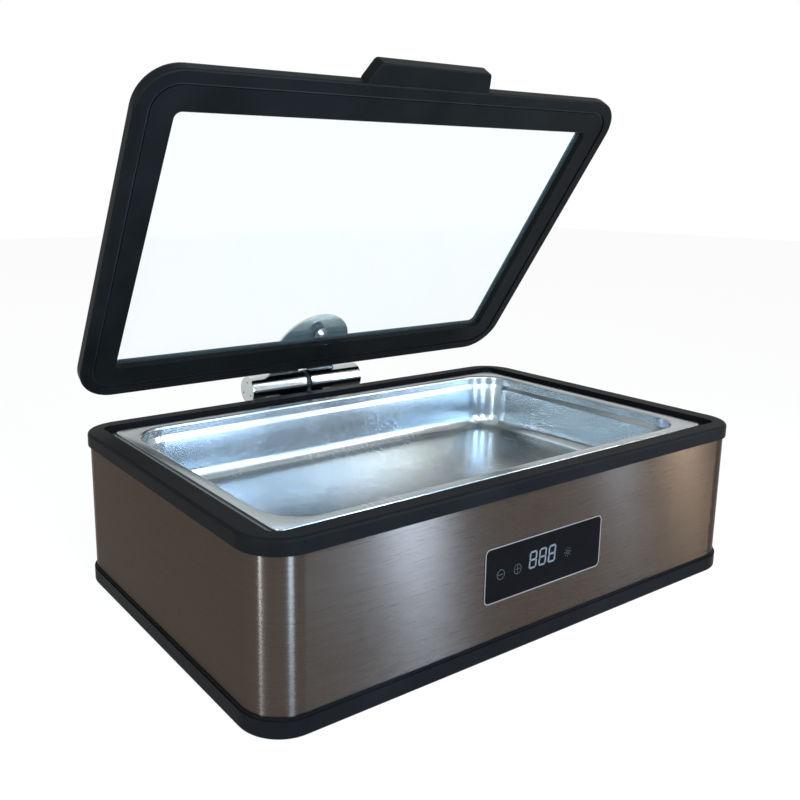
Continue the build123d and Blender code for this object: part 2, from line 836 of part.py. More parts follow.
def glass_bolt():
    y = lid_rear - glass_bolt_inset
    high = lid_top + leaf_thickness
    tip = glass_under - glass_bolt_washer_thickness - cap_nut_height * 2 / 3
    return rod(screw_radius, tip, high, 0, y) + screw_head(high, 0, y)


def export(name, shape):
    export_step(shape, f"parts/{name}.step")


export("casing_wrap", casing_wrap())
export("top_trim", top_trim())
export("bottom_trim", bottom_trim())
export("bottom_plate", bottom_plate())
export("water_pan", water_pan())
export("food_pan", food_pan())
export("heat_spreader", heat_spreader())
export("heating_element", heating_element())
export("heat_shield", heat_shield())
export("insulation", insulation())
export("temperature_sensor", sensor(1))
export("thermal_cutout", sensor(-1))
export("control_bezel", control_bezel())
export("control_window", control_window())
export("panel_holder", panel_holder())
export("panel_board", panel_board())
export("display_module", display_module())
export("power_board", power_board())
export("board_standoffs", Compound(board_standoffs()))
export("power_relay", relay())
export("mains_inlet", mains_inlet())
export("inlet_pins", Compound([inlet_pin(x, z) for x, z in inlet_pin_places()]))
export("rubber_feet", Compound([rubber_foot(x, y) for x, y in foot_places()]))
export("foot_screws", Compound([foot_screw(x, y) for x, y in foot_places()]))
export("tie_posts", Compound([post(x, y) for x, y in four_corners(post_x, post_y)]))
export("hinge_bracket", hinge_bracket())
export("hinge_backing_plate", hinge_backing())
export("bracket_screws", Compound([bracket_screw(x, z) for x, z in bracket_screw_places()]))
export("hinge_pin", hinge_pin())
export("hinge_washers", Compound([hinge_washer(-1), hinge_washer(1)]))
export("hinge_leaf", opened(hinge_leaf()))
export("hinge_dampers", opened(Compound([hinge_damper(-1), hinge_damper(1)])))
export("hinge_end_caps", opened(Compound([hinge_end_cap(-1), hinge_end_cap(1)])))
export("lid_frame", opened(lid_frame()))
export("lid_retainer", opened(lid_retainer()))
export("lid_glass", opened(lid_glass()))
export("lid_gasket", opened(lid_gasket()))
export("lid_handle", opened(lid_handle()))
export("handle_screws", opened(Compound([handle_screw(x, y) for x, y in handle_screw_places()])))
export("leaf_screws", opened(Compound([leaf_screw(x, y) for x, y in leaf_screw_places()])))
export("glass_bolt", opened(glass_bolt()))
export("glass_spacer", opened(glass_spacer()))
export("glass_washer", opened(glass_washer()))
export("cap_nut", opened(cap_nut()))
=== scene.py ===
import math
import bpy
import bmesh
from mathutils import Matrix, Vector


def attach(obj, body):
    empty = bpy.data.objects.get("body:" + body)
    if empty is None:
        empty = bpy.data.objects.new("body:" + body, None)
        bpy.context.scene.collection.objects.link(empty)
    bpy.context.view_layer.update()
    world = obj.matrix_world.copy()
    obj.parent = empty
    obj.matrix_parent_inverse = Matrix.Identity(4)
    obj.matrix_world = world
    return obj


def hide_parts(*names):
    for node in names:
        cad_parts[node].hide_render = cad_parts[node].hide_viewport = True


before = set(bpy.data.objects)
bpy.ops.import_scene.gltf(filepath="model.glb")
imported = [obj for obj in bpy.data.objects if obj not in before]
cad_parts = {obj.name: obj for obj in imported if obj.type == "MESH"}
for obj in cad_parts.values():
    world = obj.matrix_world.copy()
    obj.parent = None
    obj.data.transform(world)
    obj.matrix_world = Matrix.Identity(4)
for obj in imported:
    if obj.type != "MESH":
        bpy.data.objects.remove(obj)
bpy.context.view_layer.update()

print("frame loaded")

mm = 0.001      # a millimetre in metres. The sizes of pieces are in millimetres.


# Shader maths

class Wire:
    def __init__(self, finish, socket):
        self.finish = finish
        self.socket = socket

    def maths(self, operation, other):
        return self.finish.node("ShaderNodeMath", {"operation": operation}, {0: self, 1: other})

    def __add__(self, other):
        return self.maths("ADD", other)

    def __mul__(self, other):
        return self.maths("MULTIPLY", other)

    __radd__ = __add__
    __rmul__ = __mul__


class Finish:
    def __init__(self, owner):      # a new material or world
        self.owner = owner
        owner.use_nodes = True
        self.tree = owner.node_tree
        self.tree.nodes.clear()
        self.coords = None

    def node(self, kind, settings=None, sockets=None, output=0):
        made = self.tree.nodes.new(kind)
        for key, value in (settings or {}).items():
            setattr(made, key, value)
        for key, value in (sockets or {}).items():
            if isinstance(value, Wire):
                self.tree.links.new(value.socket, made.inputs[key])
            else:
                made.inputs[key].default_value = value
        return Wire(self, made.outputs[output]) if made.outputs else None

    def place(self, stretch):
        if self.coords is None:
            self.coords = self.node("ShaderNodeTexCoord", output="Object")
        return self.node("ShaderNodeMapping", {}, {"Vector": self.coords, "Scale": stretch})

    def noise(self, scale, detail=2.0, stretch=(1, 1, 1), roughness=0.5):
        return self.node("ShaderNodeTexNoise", {}, {"Vector": self.place(stretch), "Scale": scale,
                                                    "Detail": detail, "Roughness": roughness})

    def spread(self, value, low, high, fromLow=0.3, fromHigh=0.7):
        # Noise keeps mostly between 0.3 and 0.7.
        ends = {"From Min": fromLow, "From Max": fromHigh, "To Min": low, "To Max": high}
        return self.node("ShaderNodeMapRange", {}, {"Value": value, **ends})

    def blendColour(self, factor, first, second):
        colours = {6: (*first, 1), 7: (*second, 1)}
        return self.node("ShaderNodeMix", {"data_type": "RGBA"}, {0: factor, **colours}, output=2)

    def bump(self, height, strength, distance, normal=None):
        sockets = {"Height": height, "Strength": strength, "Distance": distance}
        if normal is not None:
            sockets["Normal"] = normal
        return self.node("ShaderNodeBump", {}, sockets)

    def done(self, shader, ending="ShaderNodeOutputMaterial"):
        self.node(ending, {}, {"Surface": shader})
        return self.owner

    def surface(self, sockets):
        return self.done(self.node("ShaderNodeBsdfPrincipled", {}, sockets))


def newFinish(name):
    return Finish(bpy.data.materials.new(name))


# Finishes. A noise is given as scale, detail, stretch and roughness, and a bump as strength and depth.

casingLook = {
    # Both colours sit far below bare steel. This is painted shade that stands in for the dim room the wrap
    # mirrors. The step between the two colours is the steel's own random tone.
    "light": (0.074, 0.059, 0.048),
    "dark": (0.058, 0.046, 0.037),
    "edgeTint": (0.56, 0.53, 0.51, 1),
    "lines": (2600, 3, (0.012, 0.012, 1), 0.6),      # hairlines that run level round the wrap
    "streaks": (420, 2, (0.02, 0.02, 1)),
    "cloud": (6, 3),
    "shares": (0.5, 0.25, 0.25),      # what lines, streaks and cloud each add to the lighter colour
    "roughness": 0.28,
    "lineRough": 0.03,
    "cloudRough": 0.02,
    "grain": (0.08, 0.0002),
    "smear": 1.0,      # the hairlines run level, so what they mirror is drawn out upwards
    "smearTurn": 0.25,
}


def brushedCasing():
    f = newFinish("brushedCasing")
    lines, streaks, cloud = (f.noise(*casingLook[key]) for key in ("lines", "streaks", "cloud"))
    lineShare, streakShare, cloudShare = casingLook["shares"]
    mix = f.spread(lines, 0, lineShare) + f.spread(streaks, 0, streakShare) + f.spread(cloud, 0, cloudShare)
    # The base colour is painted shade: dark enough to stand in for the dim room the wrap mirrors.
    colour = f.blendColour(mix, casingLook["dark"], casingLook["light"])
    base = casingLook["roughness"]
    rough = f.spread(lines, base - casingLook["lineRough"], base + casingLook["lineRough"])
    rough = rough + f.spread(cloud, -casingLook["cloudRough"], casingLook["cloudRough"])
    normal = f.bump(lines, *casingLook["grain"])
    return f.surface({"Base Color": colour, "Metallic": 1.0, "Roughness": rough, "Normal": normal,
                      "Specular Tint": casingLook["edgeTint"], "Anisotropic": casingLook["smear"],
                      "Anisotropic Rotation": casingLook["smearTurn"]})


panLook = {
    "light": (0.365, 0.40, 0.41),
    "dark": (0.28, 0.305, 0.31),
    "lineScale": 500,
    "lineDetail": 3,
    "lineRoughness": 0.6,
    "cloud": (9, 4),
    "roughness": 0.22,
    "rimRoughness": 0.20,      # of the water pan's rim, which is the same steel
    "lineRough": (-0.02, 0.03),
    "cloudRough": 0.04,
    "grain": (0.025, 0.0002),
    "waves": (0.012, 0.0015),
}


def drawnPan(name, stretch, roughness):
    f = newFinish(name)
    lines = f.noise(panLook["lineScale"], panLook["lineDetail"], stretch, panLook["lineRoughness"])
    cloud = f.noise(*panLook["cloud"])
    colour = f.blendColour(f.spread(cloud, 0, 1), panLook["dark"], panLook["light"])
    low, high = panLook["lineRough"]
    rough = f.spread(lines, roughness + low, roughness + high) + f.spread(cloud, 0, panLook["cloudRough"])
    normal = f.bump(lines, *panLook["grain"], f.bump(cloud, *panLook["waves"]))
    return f.surface({"Base Color": colour, "Metallic": 1.0, "Roughness": rough, "Normal": normal})


chromeLook = {
    "light": (0.50, 0.535, 0.53),
    "dark": (0.45, 0.48, 0.475),
    "smear": (40, 3),
    "ripple": (160, 2),
    "roughness": 0.11,
    "smearRough": (-0.02, 0.03),
    "waves": (0.015, 0.0003),
}


def platedChrome():
    f = newFinish("platedChrome")
    smear = f.noise(*chromeLook["smear"])
    colour = f.blendColour(f.spread(smear, 0, 1), chromeLook["dark"], chromeLook["light"])
    low, high = chromeLook["smearRough"]
    rough = f.spread(smear, chromeLook["roughness"] + low, chromeLook["roughness"] + high)
    normal = f.bump(f.noise(*chromeLook["ripple"]), *chromeLook["waves"])
    return f.surface({"Base Color": colour, "Metallic": 1.0, "Roughness": rough, "Normal": normal})


trimLook = {
    "colour": (0.0026, 0.0024, 0.0024),
    "worn": (0.0042, 0.0040, 0.0040),
    "tint": (1.0, 0.88, 0.80, 1),
    "roughness": 0.42,
    "ior": 1.08,
}
frameLook = {
    "colour": (0.0024, 0.0026, 0.0024),
    "worn": (0.0044, 0.0048, 0.0044),
    "tint": (0.97, 0.95, 0.88, 1),
    "roughness": 0.40,
    "ior": 1.11,
}
mouldedLook = {      # what both plastics share
    "fine": (1400, 2),
    "broad": (14, 3),
    "broadRough": (-0.04, 0.06),
    "grain": (0.12, 0.0003),
    "waves": (0.04, 0.003),
}


def mouldedPlastic(name, look):
    f = newFinish(name)
    broad = f.noise(*mouldedLook["broad"])
    colour = f.blendColour(f.spread(broad, 0, 1), look["colour"], look["worn"])
    low, high = mouldedLook["broadRough"]
    rough = f.spread(broad, look["roughness"] + low, look["roughness"] + high)
    waves = f.bump(broad, *mouldedLook["waves"])
    normal = f.bump(f.noise(*mouldedLook["fine"]), *mouldedLook["grain"], waves)
    return f.surface({"Base Color": colour, "Roughness": rough, "Normal": normal, "IOR": look["ior"],
                      "Specular Tint": look["tint"]})


glassLook = {
    "tint": (0.985, 0.995, 0.99, 1),
    "body": (0.42, 0.52, 0.48, 1),
    "roughness": 0.03,
    "ior": 1.5,
    "edgeBlend": 0.12,
    "bodyShare": (0.01, 0.25),      # seen square on, and seen along the pane
    "haze": (7, 3),
    "hazeShare": 0.012,
}


def clearGlass():
    f = newFinish("clearGlass")
    through = f.node("ShaderNodeBsdfTransparent", {}, {"Color": glassLook["tint"]})
    body = f.node("ShaderNodeBsdfPrincipled", {}, {"Base Color": glassLook["body"], "IOR": glassLook["ior"],
                                                   "Roughness": glassLook["roughness"]})
    edge = f.node("ShaderNodeLayerWeight", {}, {"Blend": glassLook["edgeBlend"]}, output="Facing")
    haze = f.spread(f.noise(*glassLook["haze"]), 0, glassLook["hazeShare"])
    share = f.spread(edge, *glassLook["bodyShare"], 0, 1) + haze
    return f.done(f.node("ShaderNodeMixShader", {}, {0: share, 1: through, 2: body}))


plainLook = {      # what the plain finishes share
    "speckleDetail": 3,
    "broad": (20, 2),
    "speckleRough": 0.05,
    "depth": 0.0004,
    "ior": 1.45,
}
plainKinds = {      # name, two colours, roughness, metallic, grain strength, grain scale, IOR if its own
    "window": ("panelWindow", (0.0018, 0.0016, 0.0016), (0.0026, 0.0022, 0.0022), 0.12, 0, 0.01, 60, 1.07),
    "digit": ("digitWhite", (0.040, 0.038, 0.038), (0.050, 0.048, 0.048), 0.6, 0, 0.02, 200),
    "icon": ("iconGrey", (0.0034, 0.0032, 0.0034), (0.0044, 0.0042, 0.0044), 0.6, 0, 0.02, 200),
    "bezel": ("bezelEdge", (0.26, 0.26, 0.27), (0.34, 0.34, 0.35), 0.2, 1, 0.03, 500),
    "plate": ("millSheet", (0.42, 0.42, 0.42), (0.52, 0.52, 0.52), 0.35, 1, 0.08, 250),
    "screw": ("platedScrew", (0.60, 0.60, 0.60), (0.68, 0.68, 0.68), 0.22, 1, 0.03, 400),
    "bracket": ("blackPaint", (0.006, 0.006, 0.0065), (0.010, 0.010, 0.010), 0.32, 0, 0.06, 500, 1.25),
    "rubber": ("blackRubber", (0.010, 0.010, 0.010), (0.016, 0.016, 0.016), 0.75, 0, 0.25, 900, 1.2),
    "board": ("circuitBoard", (0.02, 0.12, 0.05), (0.03, 0.17, 0.07), 0.4, 0, 0.05, 300),
    "module": ("displayBlock", (0.03, 0.03, 0.03), (0.045, 0.045, 0.045), 0.3, 0, 0.03, 300),
    "nylon": ("naturalNylon", (0.70, 0.69, 0.65), (0.76, 0.75, 0.71), 0.5, 0, 0.05, 300),
    "ceramic": ("plainCeramic", (0.74, 0.71, 0.65), (0.80, 0.77, 0.71), 0.6, 0, 0.12, 500),
    "fibre": ("fibreFelt", (0.70, 0.68, 0.58), (0.78, 0.76, 0.67), 0.9, 0, 0.8, 700),
    "aluminium": ("rolledSheet", (0.66, 0.66, 0.67), (0.74, 0.74, 0.75), 0.28, 1, 0.05, 300),
    "brass": ("contactBrass", (0.62, 0.46, 0.20), (0.70, 0.53, 0.25), 0.28, 1, 0.05, 300),
}


def plainFinish(name, colour, second, roughness, metallic, grain, scale, ior=plainLook["ior"]):
    f = newFinish(name)
    speckle = f.noise(scale, plainLook["speckleDetail"])
    tone = f.blendColour(f.spread(f.noise(*plainLook["broad"]), 0, 1), colour, second)
    rough = f.spread(speckle, roughness - plainLook["speckleRough"], roughness + plainLook["speckleRough"])
    normal = f.bump(speckle, grain, plainLook["depth"])
    return f.surface({"Base Color": tone, "Metallic": metallic, "Roughness": rough, "Normal": normal,
                      "IOR": ior})


finishes = {
    "casing": brushedCasing(),
    "pan": drawnPan("drawnPan", (1, 0.05, 1), panLook["roughness"]),
    "rim": drawnPan("waterRim", (0.05, 1, 1), panLook["rimRoughness"]),
    "chrome": platedChrome(),
    "trim": mouldedPlastic("trimPlastic", trimLook),
    "frame": mouldedPlastic("framePlastic", frameLook),
    "glass": clearGlass(),
}
for kind, values in plainKinds.items():
    finishes[kind] = plainFinish(*values)
print("finishes made")


# The nodes of each finish. The ones that a piece below replaces have a finish too.
finishNodes = {
    "plate": ("bottom_plate", "heating_element", "heat_shield", "hinge_backing_plate", "hinge_dampers"),
    "aluminium": ("heat_spreader",),
    "fibre": ("insulation",),
    "ceramic": ("temperature_sensor", "thermal_cutout"),
    "trim": ("top_trim", "bottom_trim", "panel_holder", "mains_inlet", "hinge_washers"),
    "board": ("panel_board", "power_board"),
    "module": ("display_module", "power_relay"),
    "nylon": ("board_standoffs",),
    "brass": ("inlet_pins",),
    "screw": ("tie_posts", "hinge_pin", "foot_screws", "bracket_screws", "handle_screws"),
    "bracket": ("hinge_bracket",),
    "rubber": ("rubber_feet", "glass_spacer", "lid_gasket"),
    "casing": ("casing_wrap",),
    "rim": ("water_pan",),
    "pan": ("food_pan",),
    "bezel": ("control_bezel",),
    "window": ("control_window",),
    "chrome": ("hinge_leaf", "hinge_end_caps", "leaf_screws", "glass_bolt", "glass_washer", "cap_nut"),
    "frame": ("lid_frame", "lid_retainer", "lid_handle"),
    "glass": ("lid_glass",),
}
for kind, names in finishNodes.items():
    for name in names:
        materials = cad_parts[name].data.materials
        materials.clear()
        materials.append(finishes[kind])
print("packed nodes finished")


# Making pieces

lid = {      # the lid's pieces are made closed and then turned up about the hinge
    "axisY": 216,
    "axisZ": 166.5,
    "openAngle": 56,
}


def newEdges(bm, make):
    # Runs an operator and gives the edges that it leaves, without its face.
    before = set(bm.edges)
    made = make()
    faces = {face for vert in made["verts"] for face in vert.link_faces}
    bmesh.ops.delete(bm, geom=list(faces), context="FACES_ONLY")
    return [edge for edge in bm.edges if edge not in before]


def squareLoop(bm, length, depth, corner, height, segments):
    # A level loop with rounded corners.
    place = Matrix.Translation((0, 0, height * mm)) @ Matrix.Diagonal((length * mm, depth * mm, 1, 1))

    def make():
        made = bmesh.ops.create_grid(bm, x_segments=1, y_segments=1, size=0.5, matrix=place)
        return bmesh.ops.bevel(bm, geom=made["verts"], offset=corner * mm, offset_type="OFFSET",
                               segments=segments, profile=0.5, affect="VERTICES", material=-1)
    return newEdges(bm, make)


def roundLoop(bm, radius, height, sides=24):
    place = Matrix.Translation((0, 0, height * mm))
    return newEdges(bm, lambda: bmesh.ops.create_circle(
        bm, cap_ends=True, radius=radius * mm, segments=sides, matrix=place))


def joinLoops(bm, loops, closeFirst=True, closeLast=True):
    # Bridges each loop to the next, and shuts the ends.
    for first, second in zip(loops, loops[1:]):
        bmesh.ops.bridge_loops(bm, edges=first + second)
    ends = (loops[0] if closeFirst else []) + (loops[-1] if closeLast else [])
    if ends:
        bmesh.ops.holes_fill(bm, edges=[edge for edge in ends if edge.is_boundary], sides=0)
    bmesh.ops.recalc_face_normals(bm, faces=bm.faces)


def addPlaced(bm, other, place):
    # Moves one bmesh to its place and adds it to another.
    bmesh.ops.transform(other, matrix=place, verts=other.verts)
    mesh = bpy.data.meshes.new("added")
    other.to_mesh(mesh)
    other.free()
    bm.from_mesh(mesh)
    bpy.data.meshes.remove(mesh)


def addBar(bm, length, width, thickness, corner, place):
    # A flat bar with rounded ends or corners.
    flat = bmesh.new()
    joinLoops(flat, [squareLoop(flat, length, width, corner, height, 2) for height in (0, thickness)])
    addPlaced(bm, flat, place)


def openLid(bm):
    turn = Matrix.Rotation(math.radians(-lid["openAngle"]), 4, "X")
    pivot = Matrix.Translation(Vector((0, lid["axisY"], lid["axisZ"])) * mm)
    bmesh.ops.transform(bm, matrix=pivot @ turn @ pivot.inverted(), verts=bm.verts)


def makePiece(name, bm, finish, body, nodes, smoothAngle):
    if body == "lid":
        openLid(bm)
    mesh = bpy.data.meshes.new(name)
    bm.to_mesh(mesh)
    bm.free()
    mesh.materials.append(finishes[finish])
    mesh.polygons.foreach_set("use_smooth", [True] * len(mesh.polygons))
    mesh.set_sharp_from_angle(angle=math.radians(smoothAngle))
    piece = bpy.data.objects.new(name, mesh)
    bpy.context.scene.collection.objects.link(piece)
    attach(piece, body)
    if nodes:
        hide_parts(*nodes)


# Food pan: one pressed sheet, from the flange's turned edge to the slightly crowned floor

pan = {
    "flange": (530, 325, 10),      # length, depth, corner radius
    "opening": (506, 301, 40),
    "cornerSegments": 12,
    "top": 158.5,
    "skirt": 2.5,
    "edgeRound": 1.0,
    "edgeAngles": (0, 30, 60, 90),
    "lipRound": 2.6,
    "lipAngles": (0, 22, 45, 68, 90),
    "shoulderTop": 147.5,
    "shoulderStep": 2.5,
    "shoulderHeight": 4.0,
    "shoulderBend": 1.2,      # the step runs into the wall over this height, above and below
    "shoulderEase": (0.25, 0.3),      # and is this far in at its top, and short of its foot
    "draft": 2.0,
    "floor": 93.5,
    "floorRound": 16,
    "floorAngles": (0, 15, 30, 45, 60, 75, 90),
    "crown": 0.5,
    "crownRings": (((360, 160, 20), 0.8), ((120, 60, 20), 1.0)),      # outline, share of the crown
    "sheet": 0.8,
    "smoothAngle": 40,
}


def panLoops(bm):
    def at(outline, inset, height):
        length, depth, corner = outline
        return squareLoop(bm, length - 2 * inset, depth - 2 * inset, corner - inset, height,
                          pan["cornerSegments"])

    top = pan["top"]
    edge = pan["edgeRound"]
    lip = pan["lipRound"]
    step = pan["shoulderStep"]
    shoulder = pan["shoulderTop"]
    below = shoulder - pan["shoulderHeight"]
    shoulderBend = pan["shoulderBend"]
    easeTop, easeFoot = pan["shoulderEase"]
    wallIn = step + pan["draft"]
    bend = pan["floorRound"]
    floor = pan["floor"]
    loops = [at(pan["flange"], 0, top - pan["skirt"])]
    for angle in pan["edgeAngles"]:
        turn = math.radians(angle)
        loops.append(at(pan["flange"], edge * (1 - math.cos(turn)), top - edge * (1 - math.sin(turn))))
    for angle in pan["lipAngles"]:
        turn = math.radians(angle)
        loops.append(at(pan["opening"], -lip * (1 - math.sin(turn)), top - lip * (1 - math.cos(turn))))
    for inset, height in ((0, shoulder + shoulderBend), (easeTop, shoulder),
                          (step - easeFoot, below), (step, below - shoulderBend)):
        loops.append(at(pan["opening"], inset, height))
    for angle in pan["floorAngles"]:
        turn = math.radians(angle)
        inset = wallIn + bend * (1 - math.cos(turn))
        loops.append(at(pan["opening"], inset, floor + bend * (1 - math.sin(turn))))
    for outline, share in pan["crownRings"]:
        loops.append(at(outline, 0, floor + pan["crown"] * share))
    return loops


def sortParts(bm):
    # Solidify leaves its edges and faces in another order in each run.
    bm.verts.index_update()
    count = len(bm.verts)

    def order(part):
        total = 0
        for index in sorted(vert.index for vert in part.verts)[:3]:
            total = total * count + index
        return total
    bm.edges.sort(key=order)
    bm.faces.sort(key=order)


def makeFoodPan():
    bm = bmesh.new()
    joinLoops(bm, panLoops(bm), closeFirst=False)
    # The open sheet faces up before it gets its thickness
    if sum(face.normal.z for face in bm.faces) < 0:
        bmesh.ops.reverse_faces(bm, faces=bm.faces)
    bmesh.ops.solidify(bm, geom=bm.faces[:] + bm.edges[:] + bm.verts[:], thickness=pan["sheet"] * mm)
    sortParts(bm)
    makePiece("pressedFoodPan", bm, "pan", "food_pan", ["food_pan"], pan["smoothAngle"])


makeFoodPan()
print("food pan made")


# Screws with a domed head and a six-sided recess

screw = {
    "shank": 2.5,      # radii
    "head": 4.8,
    "recess": 2.0,
    "recessDepth": 1.5,
    "deepestShare": 0.6,      # of the head's height, where the head is low
    "recessSides": 6,
    "tipCut": 0.5,
    "edgeCut": 0.15,
    "dome": ((1, 0.5), (0.93, 0.76), (0.76, 0.94), (0.55, 1)),      # shares of the head's radius and height
    "turnEach": 0.7,      # each recess is turned further than the last, in radians
    "smoothAngle": 32,
    "groups": {      # places of the seats, way out, tip below the seat, head height, finish, body, slot
        "leaf_screws": ([(x, 170, 180.8) for x in (-30, 30)],
                        "up", 14.8, 2.8, "chrome", "lid", "hinge_chrome"),
        "glass_bolt": ([(0, 138, 180.8)], "up", 13.2, 2.8, "chrome", "lid", "hinge_chrome"),
        "handle_screws": ([(x, -180, 178.3) for x in (-41, 49)],
                          "up", 8.0, 2.8, "screw", "lid", "screw_steel"),
        "bracket_screws": ([(x, 190.5, z) for x in (-42, 42) for z in (110.5, 136.5)],
                           "back", 7.8, 2.8, "screw", "base", "screw_steel"),
        "foot_screws": ([(x, y, 2.4) for x in (-239.5, 239.5) for y in (-134.5, 134.5)],
                        "down", 7.6, 1.6, "screw", "base", "screw_steel"),
    },
}
waysOut = {"up": Matrix.Identity(4), "back": Matrix.Rotation(math.radians(-90), 4, "X"),
           "down": Matrix.Rotation(math.radians(180), 4, "X")}


def screwShape(tip, height):
    bm = bmesh.new()
    shank = screw["shank"]
    head = screw["head"]
    recess = screw["recess"]
    cut = screw["edgeCut"]
    floor = height - min(screw["recessDepth"], height * screw["deepestShare"])
    loops = [
        roundLoop(bm, shank - screw["tipCut"], -tip),
        roundLoop(bm, shank, screw["tipCut"] - tip),
        roundLoop(bm, shank, 0),
        roundLoop(bm, head - cut, 0),
        roundLoop(bm, head, cut),
    ]
    loops += [roundLoop(bm, head * across, height * up) for across, up in screw["dome"]]
    loops += [roundLoop(bm, radius, level, screw["recessSides"]) for radius, level in
              ((recess + cut, height), (recess, height - cut), (recess, floor))]
    joinLoops(bm, loops)
    return bm


def makeScrews():
    for name, (places, way, tip, height, finish, body, slotName) in screw["groups"].items():
        bm = bmesh.new()
        for number, place in enumerate(places):
            turn = Matrix.Rotation(number * screw["turnEach"], 4, "Z")
            seat = Matrix.Translation(Vector(place) * mm) @ waysOut[way] @ turn
            addPlaced(bm, screwShape(tip, height), seat)
        makePiece(name + "Detail", bm, finish, body, [name], screw["smoothAngle"])


makeScrews()
print("screws made")


# The domed nut under the glass

capNut = {
    "place": (0, 138),
    "radius": 4.6,
    "top": 169.3,
    "topCut": 0.2,
    "low": 166.05,
    "hexLow": 1.1,      # the six flats end this far above the lowest point
    "sides": 6,
    # Below the flats: share of the radius, and height above the lowest point
    "dome": ((0.86, 0.7), (0.76, 0.62), (0.7, 0.3), (0.5, 0.08), (0.2, 0)),
    "smoothAngle": 32,
}


def makeCapNut():
    bm = bmesh.new()
    low = capNut["low"]
    wide = capNut["radius"]
    cut = capNut["topCut"]
    flats = ((wide - cut, capNut["top"]), (wide, capNut["top"] - cut), (wide, low + capNut["hexLow"]))
    loops = [roundLoop(bm, radius, level, capNut["sides"]) for radius, level in flats]
    loops += [roundLoop(bm, wide * share, low + above) for share, above in capNut["dome"]]
    joinLoops(bm, loops)
    x, y = capNut["place"]
    bmesh.ops.translate(bm, verts=bm.verts, vec=(x * mm, y * mm, 0))
    makePiece("domedNut", bm, "chrome", "lid", ["cap_nut"], capNut["smoothAngle"])


makeCapNut()
print("nut made")


# Digits and touch marks on the window

panel = {
    "face": -187.0,
    "smoothAngle": 30,
    "digitProud": 0.22,
    "digitHeight": 16.6,
    "digitWidth": 9.6,
    "digitMiddle": 83.0,
    "digitPlaces": (-16.4, -4.2, 8.0),
    "slant": 0.07,
    "stroke": 1.75,
    "strokeGap": 0.5,
    "strokeCut": 0.49,      # share of the stroke's width
    "markProud": 0.11,
    "markMiddle": 79.0,
    "minus": -56.0,
    "plus": -35.5,
    "sun": 29.5,
    "markSize": 6.4,
    "markStroke": 0.7,
    "markCut": 0.4,      # share of the stroke's width
    "ring": 0.75,      # these four are shares of the mark's size
    "sunRing": 0.32,
    "rayPlace": 0.62,
    "rayLength": 0.28,
    "rays": 8,
    "ringSides": 32,
}


def onPanel(x, z, turn=0.0):
    # Lays a flat shape on the window, facing the front.
    stand = Matrix.Rotation(math.radians(90), 4, "X")
    return Matrix.Translation(Vector((x, panel["face"], z)) * mm) @ stand @ Matrix.Rotation(turn, 4, "Z")


def makeDigits():
    bm = bmesh.new()
    stroke = panel["stroke"]
    slant = panel["slant"]
    middle = panel["digitMiddle"]
    side = panel["digitWidth"] / 2 - stroke / 2
    tall = panel["digitHeight"] / 2 - stroke / 2
    upright = math.radians(90) - math.atan(slant)

    def segment(x, level, length, turn):
        addBar(bm, length - panel["strokeGap"], stroke, panel["digitProud"], stroke * panel["strokeCut"],
               onPanel(x + slant * level, middle + level, turn))

    for digit in panel["digitPlaces"]:
        for level in (-tall, 0, tall):
            segment(digit, level, 2 * side, 0.0)
        for across in (-side, side):
            for level in (-tall / 2, tall / 2):
                segment(digit + across, level, tall, upright)
    makePiece("displayDigits", bm, "digit", "base", (), panel["smoothAngle"])


def makeMarks():
    bm = bmesh.new()
    size = panel["markSize"]
    thin = panel["markStroke"]
    level = panel["markMiddle"]
    proud = panel["markProud"]

    def stroke(length, x, z, turn):
        addBar(bm, length, thin, proud, thin * panel["markCut"], onPanel(x, z, turn))

    def ring(x, radius):
        flat = bmesh.new()
        loops = [roundLoop(flat, across, height, panel["ringSides"]) for across, height in
                 ((radius - thin, 0), (radius - thin, proud), (radius, proud), (radius, 0))]
        joinLoops(flat, loops, False, False)
        addPlaced(bm, flat, onPanel(x, level))

    stroke(size, panel["minus"], level, 0.0)
    ring(panel["minus"], size * panel["ring"])
    for turn in (0, math.pi / 2):
        stroke(size, panel["plus"], level, turn)
    ring(panel["plus"], size * panel["ring"])
    ring(panel["sun"], size * panel["sunRing"])
    for number in range(panel["rays"]):
        turn = number * 2 * math.pi / panel["rays"]
        reach = size * panel["rayPlace"]
        x = panel["sun"] + reach * math.cos(turn)
        stroke(size * panel["rayLength"], x, level + reach * math.sin(turn), turn)
    makePiece("touchMarks", bm, "icon", "base", (), panel["smoothAngle"])


makeDigits()
makeMarks()
print("panel marks made")


# Camera, in metres and degrees

camera = {
    "place": (-0.5789, -0.6899, 0.4090),
    "heading": 35.04,      # from +Y towards +X
    "pitch": 11.9,      # downwards
    "roll": 0.24,
    "lens": 39.92,
    "sensor": 36,
    "shift": (0.0751, -0.0379),
    "nearest": 0.01,
}


def setCamera():
    heading, pitch, roll = (math.radians(camera[key]) for key in ("heading", "pitch", "roll"))
    level = math.cos(pitch)
    ahead = Vector((math.sin(heading) * level, math.cos(heading) * level, -math.sin(pitch)))
    right = Vector((math.cos(heading), -math.sin(heading), 0))
    up = right.cross(ahead)
    side = right * math.cos(roll) + up * math.sin(roll)
    top = up * math.cos(roll) - right * math.sin(roll)
    data = bpy.data.cameras.new("photoCamera")
    data.lens = camera["lens"]
    data.sensor_width = camera["sensor"]
    data.shift_x, data.shift_y = camera["shift"]
    data.clip_start = camera["nearest"]
    made = bpy.data.objects.new("photoCamera", data)
    turn = Matrix((side, top, -ahead)).transposed().to_4x4()
    made.matrix_world = Matrix.Translation(camera["place"]) @ turn
    bpy.context.scene.collection.objects.link(made)
    bpy.context.scene.camera = made


# Studio, in metres

